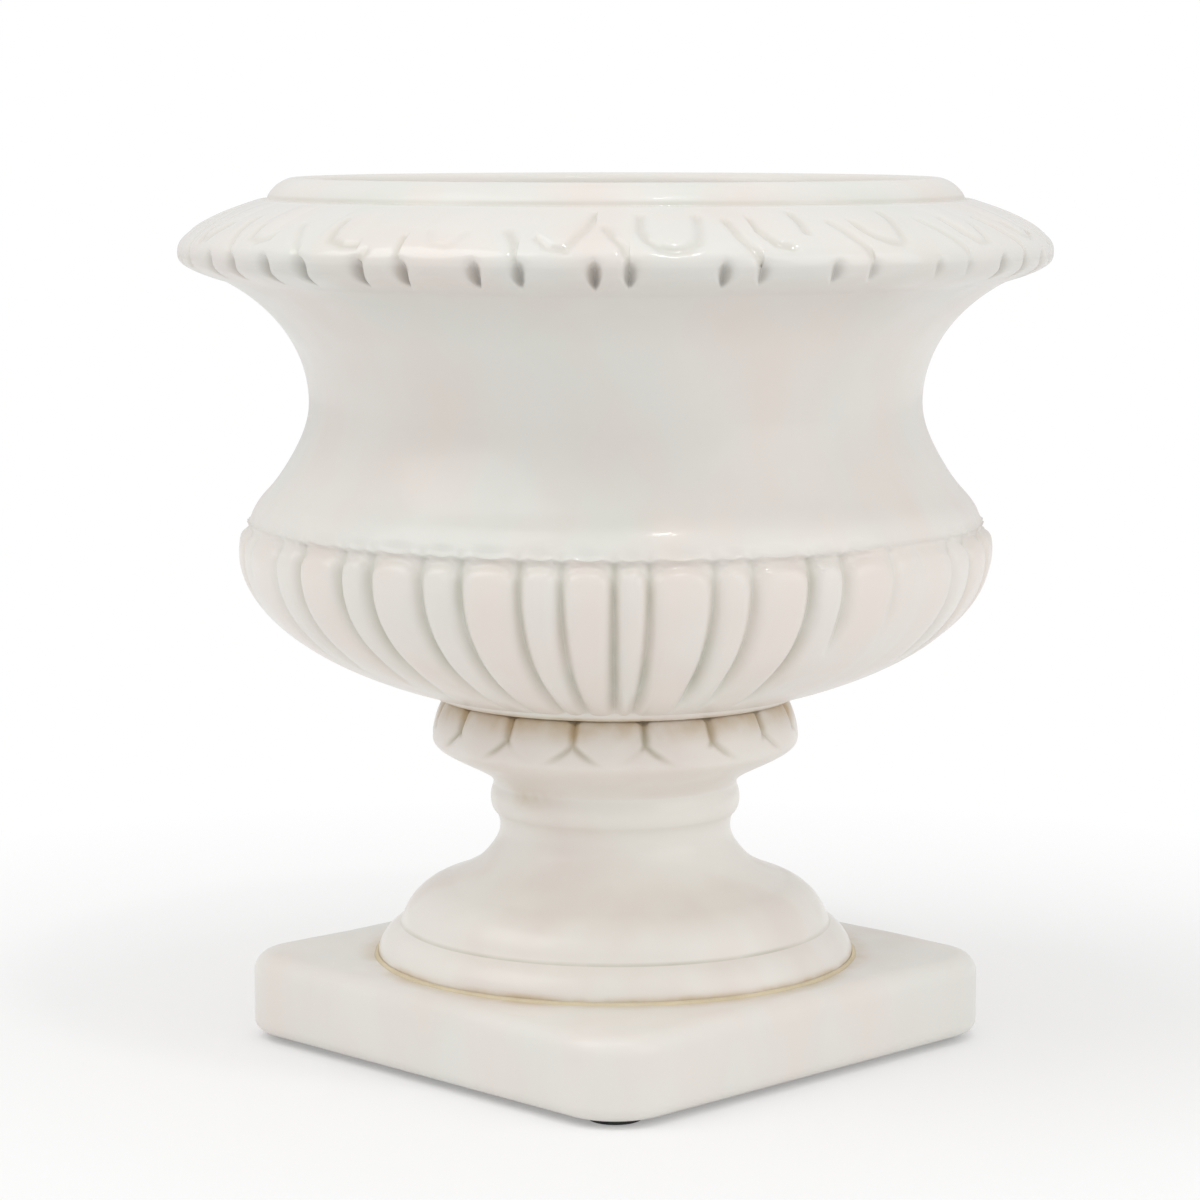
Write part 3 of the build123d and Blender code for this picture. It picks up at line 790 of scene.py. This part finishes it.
def petal_relief(angles, radius, height):
    """Depth carved between the petals of the knop, and how much of a crevice it is."""
    pitch = full_turn / petal_count
    turn = (angles - front_angle - petal_phase) / pitch
    nearest = np.round(turn).astype(int)
    x = radius * np.radians((turn - nearest) * pitch)
    half_width = radius * math.radians(pitch / 2)
    legs = np.array(petal_leg_shares)[(nearest + len(petal_leg_shares) // 2) % len(petal_leg_shares)]
    below = max(0.0, petal_fork_height - height)
    apart_by = petal_fork_slope * below ** petal_fork_curve
    width = petal_groove_width * (1 + petal_groove_spread * below)
    forked = smooth(below / petal_fork_fade)
    left = groove(x + apart_by, width) * (1 + forked * (legs[:, 0] - 1))
    right = groove(x - apart_by, width) * (1 + forked * (legs[:, 1] - 1))
    fade = smooth((height - petal_end_height) / petal_end_fade)
    grooves = np.maximum(left, right) * fade / (1 + petal_groove_wane * below)
    swell = 1 - np.clip(1 - (1 - np.abs(x) / half_width) ** petal_power, 0, 1) ** (1 / petal_power)
    swell = swell * smooth((height - petal_fork_height + petal_swell_drop) / petal_swell_fade)
    return petal_depth * (petal_groove_share * grooves + (1 - petal_groove_share) * swell), grooves


def make_pedestal():
    """The pedestal: foot, stem, ring and petalled knop in one hollow casting."""
    outline = pedestal_outline()
    count = petal_count * petal_columns
    share = np.arange(petal_columns) / petal_columns
    share = share - petal_crowding * np.sin(2 * np.pi * share) / (2 * np.pi)
    pitch = full_turn / petal_count
    turns = front_angle + petal_phase + pitch * (np.arange(petal_count)[:, None] + share).ravel()
    even = front_angle + petal_phase + full_turn * np.arange(count) / count
    rings = []
    marks = {"crevice": [], "stain": [], "blush": [], "painted_light": []}
    for name, radius, height, out, up in outline.rows:
        if name in ("knop_upper", "knop_under"):
            angles = turns
        elif name in ("ring", "stem", "shoulder", "ledge", "fascia"):
            angles = even[::outer_thinning]
        else:
            angles = even[::inner_thinning]
        depth = 0.0
        from_corner = angles - front_angle
        here = {kind: np.zeros(len(angles)) for kind in marks}
        # Painted light: the pedestal is painted paler all over
        here["painted_light"] += 1.0
        if name in ("knop_upper", "knop_under"):
            depth, mark = petal_relief(angles, radius, height)
            high = smooth((height - knop_stain_height) / knop_stain_fade)
            here["crevice"] += petal_crevice * mark
            here["stain"] += high + mark * (petal_stain + (1 - petal_stain) * high)
            here["blush"] += knop_blush
        if name == "ledge":
            here["crevice"] += ledge_crevice + ledge_crevice_change * np.cos(np.radians(from_corner))
        if name in ("knop_under", "ring"):
            away = (from_corner - ring_stain_angle + full_turn / 2) % full_turn - full_turn / 2
            rise = groove(height - ring_stain_height, ring_stain_rise)
            here["stain"] += groove(away, ring_stain_reach) * rise
        if name == "fascia":
            here["stain"] += smooth((foot_stain_height - height) / foot_stain_height)
        z = height - depth * up + pedestal_foot
        rings.append(uneven_ring(angles, radius - depth * out, z, out, pedestal_waves))
        for kind, values in here.items():
            marks[kind].append(values)
    return turned_piece("pedestal_body", rings, marks)


def rounded_square(reach, corner, turns):
    """Points of a square with rounded corners, at these turns about its middle."""
    turns = np.radians(turns)
    x, y = np.cos(turns), np.sin(turns)
    flat = reach / np.maximum(np.abs(x), np.abs(y))
    middle = reach - corner
    dot = middle * (np.abs(x) + np.abs(y))
    inside = np.maximum(dot ** 2 - (2 * middle ** 2 - corner ** 2), 0)
    curved = dot + np.sqrt(inside)
    on_corner = (np.abs(x) * flat > middle) & (np.abs(y) * flat > middle)
    far = np.where(on_corner, curved, flat)
    return np.stack([far * x, far * y], axis=1)


def make_plinth():
    """The plinth: a slab with softened edges, its boss on top and its hollow beneath."""
    turns = front_angle + full_turn * np.arange(plinth_columns) / plinth_columns
    circle = np.stack([np.cos(np.radians(turns)), np.sin(np.radians(turns))], axis=1)
    rings, stains = [], []

    def add(points, height, stain=0.0):
        rings.append(np.column_stack([points, np.full(len(points), height)]))
        stains.append(np.broadcast_to(stain, len(points)))

    def circles(radii, heights):
        for radius, height in zip(radii, heights):
            add(circle * radius, height)

    def square(inset):
        return rounded_square(plinth_reach - inset, corner_radius - inset, turns)

    boss_top = plinth_top + boss_height
    web = pad_top + underside_depth
    circles(np.full(5, rod_hole_radius), np.linspace(web, boss_top, 5))
    circles(np.linspace(rod_hole_radius, boss_radius - boss_edge, 12)[1:], np.full(11, boss_top))
    circles((boss_radius, boss_radius), (boss_top - boss_edge, plinth_top + boss_edge))
    circles((boss_radius + boss_edge,), (plinth_top,))
    inner = circle * (boss_radius + boss_edge)
    outer = square(top_edge_radius)
    for share in np.linspace(0, 1, 25)[1:]:
        points = inner + (outer - inner) * share
        near = smooth((foot_edge[0] + contact_stain_reach - np.hypot(*points.T)) / contact_stain_reach)
        add(points, plinth_top, contact_stain * near)
    for turn in np.radians(np.linspace(0, 90, 10)[1:]):
        drop = top_edge_radius * (1 - math.cos(turn))
        add(square(top_edge_radius * (1 - math.sin(turn))), plinth_top - drop)
    side_top = plinth_top - top_edge_radius
    side_bottom = pad_top + bottom_edge_radius
    for height in np.linspace(side_top, side_bottom, 14)[1:-1]:
        add(square(0.0), height)
    for turn in np.radians(np.linspace(0, 90, 8)):
        drop = bottom_edge_radius * math.sin(turn)
        add(square(bottom_edge_radius * (1 - math.cos(turn))), side_bottom - drop)
    inner = circle * underside_radius
    outer = square(bottom_edge_radius)
    for share in (0.5, 1.0):
        add(outer + (inner - outer) * share, pad_top)
    inset = underside_radius - underside_fillet
    circles(np.full(4, underside_radius), np.linspace(pad_top, web - underside_fillet, 5)[1:])
    curve = np.radians((30, 60, 90))
    circles(inset + underside_fillet * np.cos(curve), web - underside_fillet * (1 - np.sin(curve)))
    circles(np.linspace(inset, rod_hole_radius, 8)[1:-1], np.full(6, web))
    for points in rings:
        x, y, z = points.T
        edge = smooth((np.hypot(x, y) - foot_edge[0] - plinth_wave_margin) / plinth_wave_fade)
        bump = wobble(x, y, z, *plinth_waves) * edge
        points[:, 2] += np.where(z > plinth_top - plinth_wave_depth, bump - np.abs(bump).max(), 0) * edge
    # Painted light: the plinth is painted a little paler
    marks = {"stain": stains, "painted_light": [np.full_like(stain, plinth_painted_light) for stain in stains]}
    return turned_piece("plinth_body", rings, marks)


def make_fillet():
    """The jointing compound squeezed out round the pedestal's foot, in a thin uneven fillet."""
    turns = full_turn * np.arange(plinth_columns) / plinth_columns
    inside = foot_edge[0] - fillet_depth
    curve = np.radians(np.linspace(0, 90, 8))
    radii = np.r_[inside, inside, foot_edge[0] + fillet_width * (1 - np.cos(curve))]
    heights = np.r_[0.0, fillet_height / 4, fillet_height * (1 - np.sin(curve))]
    rings = []
    for radius, height in zip(radii, heights):
        past = max(0.0, radius - foot_edge[0])
        uneven = wobble(*ring(turns, foot_edge[0], height).T, *fillet_waves)
        rings.append(ring(turns, radius + past * uneven, plinth_top + height))
    return turned_piece("foot_bed_fillet", rings, {})


def node(tree, kind, **values):
    """A shader node with its values set."""
    made = tree.nodes.new(kind)
    for key, value in values.items():
        if hasattr(made, key):
            setattr(made, key, value)
        else:
            made.inputs[key].default_value = value
    return made


def new_material(name):
    """An empty material with its shader and texture coordinates."""
    material = bpy.data.materials.new(name)
    material.use_nodes = True
    tree = material.node_tree
    place = node(tree, "ShaderNodeTexCoord").outputs["Object"]
    return material, tree.nodes["Principled BSDF"], place


def link(source, target):
    """Joins two sockets of one tree."""
    source.id_data.links.new(source, target)


def noise(place, scale, detail=3.0, roughness=0.5):
    """A noise value from 0 to 1, with scale in features per metre."""
    made = node(place.id_data, "ShaderNodeTexNoise", Scale=scale, Detail=detail, Roughness=roughness)
    link(place, made.inputs["Vector"])
    return made.outputs["Fac"]


def spread(value, low, high, to_low=0.0, to_high=1.0):
    """The value mapped from one range to another and clamped."""
    ends = {"From Min": low, "From Max": high, "To Min": to_low, "To Max": to_high}
    made = node(value.id_data, "ShaderNodeMapRange", clamp=True, **ends)
    link(value, made.inputs["Value"])
    return made.outputs["Result"]


def times(first, second):
    """The product of two values, the second a socket or a number."""
    made = node(first.id_data, "ShaderNodeMath", operation="MULTIPLY", use_clamp=True)
    link(first, made.inputs[0])
    if isinstance(second, float):
        made.inputs[1].default_value = second
    else:
        link(second, made.inputs[1])
    return made.outputs[0]


def mix(share, first, second):
    """A colour mixed from two, each a socket or a colour."""
    made = node(share.id_data, "ShaderNodeMix", data_type="RGBA")
    link(share, made.inputs["Factor"])
    for socket, colour in ((made.inputs[6], first), (made.inputs[7], second)):
        if isinstance(colour, tuple):
            socket.default_value = (*colour, 1.0)
        else:
            link(colour, socket)
    return made.outputs[2]


def stretched(place, rise):
    """Texture coordinates with scaled height, so that a pattern runs up and down or round."""
    made = node(place.id_data, "ShaderNodeMapping", Scale=(1.0, 1.0, rise))
    link(place, made.inputs["Vector"])
    return made.outputs["Vector"]


def marked(place, name):
    """The value of a mark that the mesh carries at its points."""
    return node(place.id_data, "ShaderNodeAttribute", attribute_name=name).outputs["Fac"]


def bumped(shader, value, distance, strength):
    """Adds relief from a value to the shader, with distance in metres."""
    made = node(value.id_data, "ShaderNodeBump", Distance=distance, Strength=strength)
    link(value, made.inputs["Height"])
    link(made.outputs["Normal"], shader.inputs["Normal"])


def surface(shader, colour, rough):
    """Gives the shader a colour and a roughness, the second a socket or a number."""
    link(colour, shader.inputs["Base Color"])
    if isinstance(rough, float):
        shader.inputs["Roughness"].default_value = rough
    else:
        link(rough, shader.inputs["Roughness"])


def glaze_material():
    """Warm white glaze: slow drifts of tint, greenish where it pools, tan by the joints, faint waviness,
    painted shade on and under the rim, and painted light on the lower pieces.
    """
    white = (0.80, 0.77, 0.725)
    painted_light_white = (0.845, 0.815, 0.76)
    cool = (0.765, 0.765, 0.715)
    rosy = (0.80, 0.73, 0.675)
    pooled = (0.40, 0.38, 0.265)
    tan = (0.56, 0.41, 0.22)
    painted_shade_colour = (0.30, 0.285, 0.27)
    painted_shade_share = 0.16
    pool_share = 0.62
    soil_share = 0.75
    material, shader, place = new_material("white_glaze")
    runs = stretched(place, 0.45)
    drift = spread(noise(runs, 16.0), 0.4, 0.64)
    tint = mix(drift, white, cool)
    # Painted light: paler on the pedestal and a little on the plinth
    tint = mix(marked(place, "painted_light"), tint, painted_light_white)
    patch = spread(noise(runs, 24.0, 2.0), 0.45, 0.72, 0.0, 0.8)
    blush = spread(noise(runs, 33.0, 2.0), 0.3, 0.6, 0.35, 1.0)
    tint = mix(patch, tint, rosy)
    tint = mix(times(marked(place, "blush"), blush), tint, rosy)
    # Painted shade on and under the rim, in the notches and on the bell
    tint = mix(times(marked(place, "painted_shade"), painted_shade_share), tint, painted_shade_colour)
    uneven = spread(noise(place, 30.0, 3.0), 0.35, 0.65, 0.45, 1.0)
    pool = times(times(marked(place, "crevice"), uneven), pool_share)
    tint = mix(pool, tint, pooled)
    blotch = spread(noise(place, 38.0, 3.0, 0.6), 0.35, 0.65, 0.15, 1.0)
    soil = times(times(marked(place, "stain"), blotch), soil_share)
    tint = mix(soil, tint, tan)
    surface(shader, tint, spread(noise(place, 60.0, 2.0), 0.3, 0.7, 0.3, 0.4))
    wet = spread(marked(place, "gloss"), 0.0, 1.0, 0.2, 0.7)
    link(wet, shader.inputs["Coat Weight"])
    shader.inputs["Coat Roughness"].default_value = 0.07
    shader.inputs["IOR"].default_value = 1.5
    bumped(shader, noise(place, 90.0, 1.0), 0.0002, 0.4)
    return material


def bedding_material():
    """Tan jointing compound: matt, gritty, darker where damp."""
    material, shader, place = new_material("bedding")
    grain = noise(place, 900.0, 4.0, 0.7)
    damp = spread(noise(place, 35.0), 0.4, 0.65)
    tint = mix(damp, (0.74, 0.64, 0.45), (0.64, 0.54, 0.37))
    tint = mix(spread(grain, 0.3, 0.7, 0.0, 0.4), tint, (0.78, 0.70, 0.54))
    surface(shader, tint, 0.85)
    bumped(shader, grain, 0.0003, 0.6)
    return material


def rubber_material():
    """Black moulded rubber with a dusty bloom."""
    material, shader, place = new_material("rubber")
    bloom = spread(noise(place, 120.0, 5.0, 0.65), 0.4, 0.75)
    tint = mix(bloom, (0.012, 0.012, 0.013), (0.045, 0.043, 0.04))
    surface(shader, tint, spread(bloom, 0.0, 1.0, 0.55, 0.8))
    bumped(shader, noise(place, 1500.0, 2.0), 0.0001, 0.4)
    return material


def steel_material():
    """Plain stainless steel with fine turning marks round the rod's axis."""
    material, shader, place = new_material("steel")
    marks = noise(stretched(place, 9.0), 420.0, 5.0, 0.7)
    tint = mix(spread(marks, 0.3, 0.7), (0.50, 0.50, 0.49), (0.64, 0.63, 0.61))
    surface(shader, tint, spread(marks, 0.3, 0.7, 0.24, 0.42))
    shader.inputs["Metallic"].default_value = 1.0
    bumped(shader, marks, 0.0001, 0.35)
    return material


def dress(piece, material):
    """Gives a piece one material."""
    piece.data.materials.clear()
    piece.data.materials.append(material)


def make_floor():
    """A matt pale floor that, seen directly or in gloss, fades to plain white away from the urn."""
    half = 3.0
    grey = (0.93, 0.93, 0.93)
    glow = 0.25
    near = 0.28
    far = 0.62
    material, shader, place = new_material("pale_floor")
    tree = material.node_tree
    tree.nodes.remove(shader)
    matt = node(tree, "ShaderNodeBsdfDiffuse", Color=(*grey, 1.0))
    white = node(tree, "ShaderNodeEmission", Color=(1.0, 1.0, 1.0, 1.0))
    reach = node(tree, "ShaderNodeVectorMath", operation="LENGTH")
    link(place, reach.inputs[0])
    away = spread(reach.outputs["Value"], near, far, glow, 1.0)
    path = node(tree, "ShaderNodeLightPath")
    seen = node(tree, "ShaderNodeMath", operation="MAXIMUM")
    link(path.outputs["Is Camera Ray"], seen.inputs[0])
    link(path.outputs["Is Glossy Ray"], seen.inputs[1])
    both = node(tree, "ShaderNodeMixShader")
    link(times(seen.outputs[0], away), both.inputs["Fac"])
    link(matt.outputs[0], both.inputs[1])
    link(white.outputs[0], both.inputs[2])
    link(both.outputs[0], tree.nodes["Material Output"].inputs["Surface"])
    corners = [(-half, -half, 0), (half, -half, 0), (half, half, 0), (-half, half, 0)]
    mesh = bpy.data.meshes.new("floor")
    mesh.from_pydata(corners, [], [(0, 1, 2, 3)])
    floor = new_object("floor", mesh)
    dress(floor, material)


def make_world(strength):
    """Even studio light from all round, seen as white by the camera."""
    world = bpy.data.worlds.new("studio")
    bpy.context.scene.world = world
    world.use_nodes = True
    tree = world.node_tree
    back = tree.nodes["Background"]
    back.inputs["Color"].default_value = (1.0, 1.0, 1.0, 1.0)
    path = node(tree, "ShaderNodeLightPath")
    seen = node(tree, "ShaderNodeMapRange", **{"To Min": strength, "To Max": 1.0})
    link(path.outputs["Is Camera Ray"], seen.inputs["Value"])
    link(seen.outputs["Result"], back.inputs["Strength"])


def make_lamp(name, azimuth, elevation, distance, size, power):
    """A soft square lamp aimed at the urn. Azimuth is counted from the camera's side, to the right."""
    lamp = bpy.data.lights.new(name, "AREA")
    lamp.shape = "SQUARE"
    lamp.size = size
    lamp.energy = power
    made = new_object(name, lamp)
    turn = math.radians(front_angle + azimuth)
    rise = math.radians(elevation)
    way = Vector((math.cos(turn) * math.cos(rise), math.sin(turn) * math.cos(rise), math.sin(rise)))
    middle = Vector((0, 0, bowl_top * MM / 2))
    made.location = middle + way * distance
    made.rotation_mode = "QUATERNION"
    made.rotation_quaternion = way.to_track_quat("Z", "Y")


def make_camera():
    """The photograph's viewpoint: a little above the rim, looking down at the plinth's corner."""
    distance = 1711.6
    height = 429.9
    pitch = 7.407
    turn_left = 0.24
    focal_length = 3700.0
    image_side = 1200.0
    camera = bpy.data.cameras.new("camera")
    camera.sensor_width = 36.0
    camera.lens = focal_length / image_side * camera.sensor_width
    camera.clip_end = 50.0
    made = new_object("camera", camera)
    turn = math.radians(front_angle)
    made.location = (distance * MM * math.cos(turn), distance * MM * math.sin(turn), height * MM)
    made.rotation_euler = (math.radians(90 - pitch), 0, math.radians(90 + front_angle + turn_left))
    bpy.context.scene.camera = made


glaze = glaze_material()
for piece, solid in ((make_bowl(), "bowl"), (make_pedestal(), "pedestal"), (make_plinth(), "plinth")):
    dress(piece, glaze)
    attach(piece, "root")
    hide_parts(solid)

bedding = bedding_material()
fillet = make_fillet()
dress(fillet, bedding)
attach(fillet, "root")

rubber = rubber_material()
steel = steel_material()
finishes = {"foot_bed": bedding, "bowl_bed": bedding, "bowl_seal": rubber, "lower_cushion": rubber}
for name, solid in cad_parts.items():
    if name.startswith("pad_"):
        dress(solid, rubber)
    elif name in finishes:
        dress(solid, finishes[name])
    elif name not in ("bowl", "pedestal", "plinth"):
        dress(solid, steel)

make_floor()
make_world(studio_strength)
for lamp in lamps:
    make_lamp(*lamp)
make_camera()
bpy.context.scene.view_settings.view_transform = "Standard"
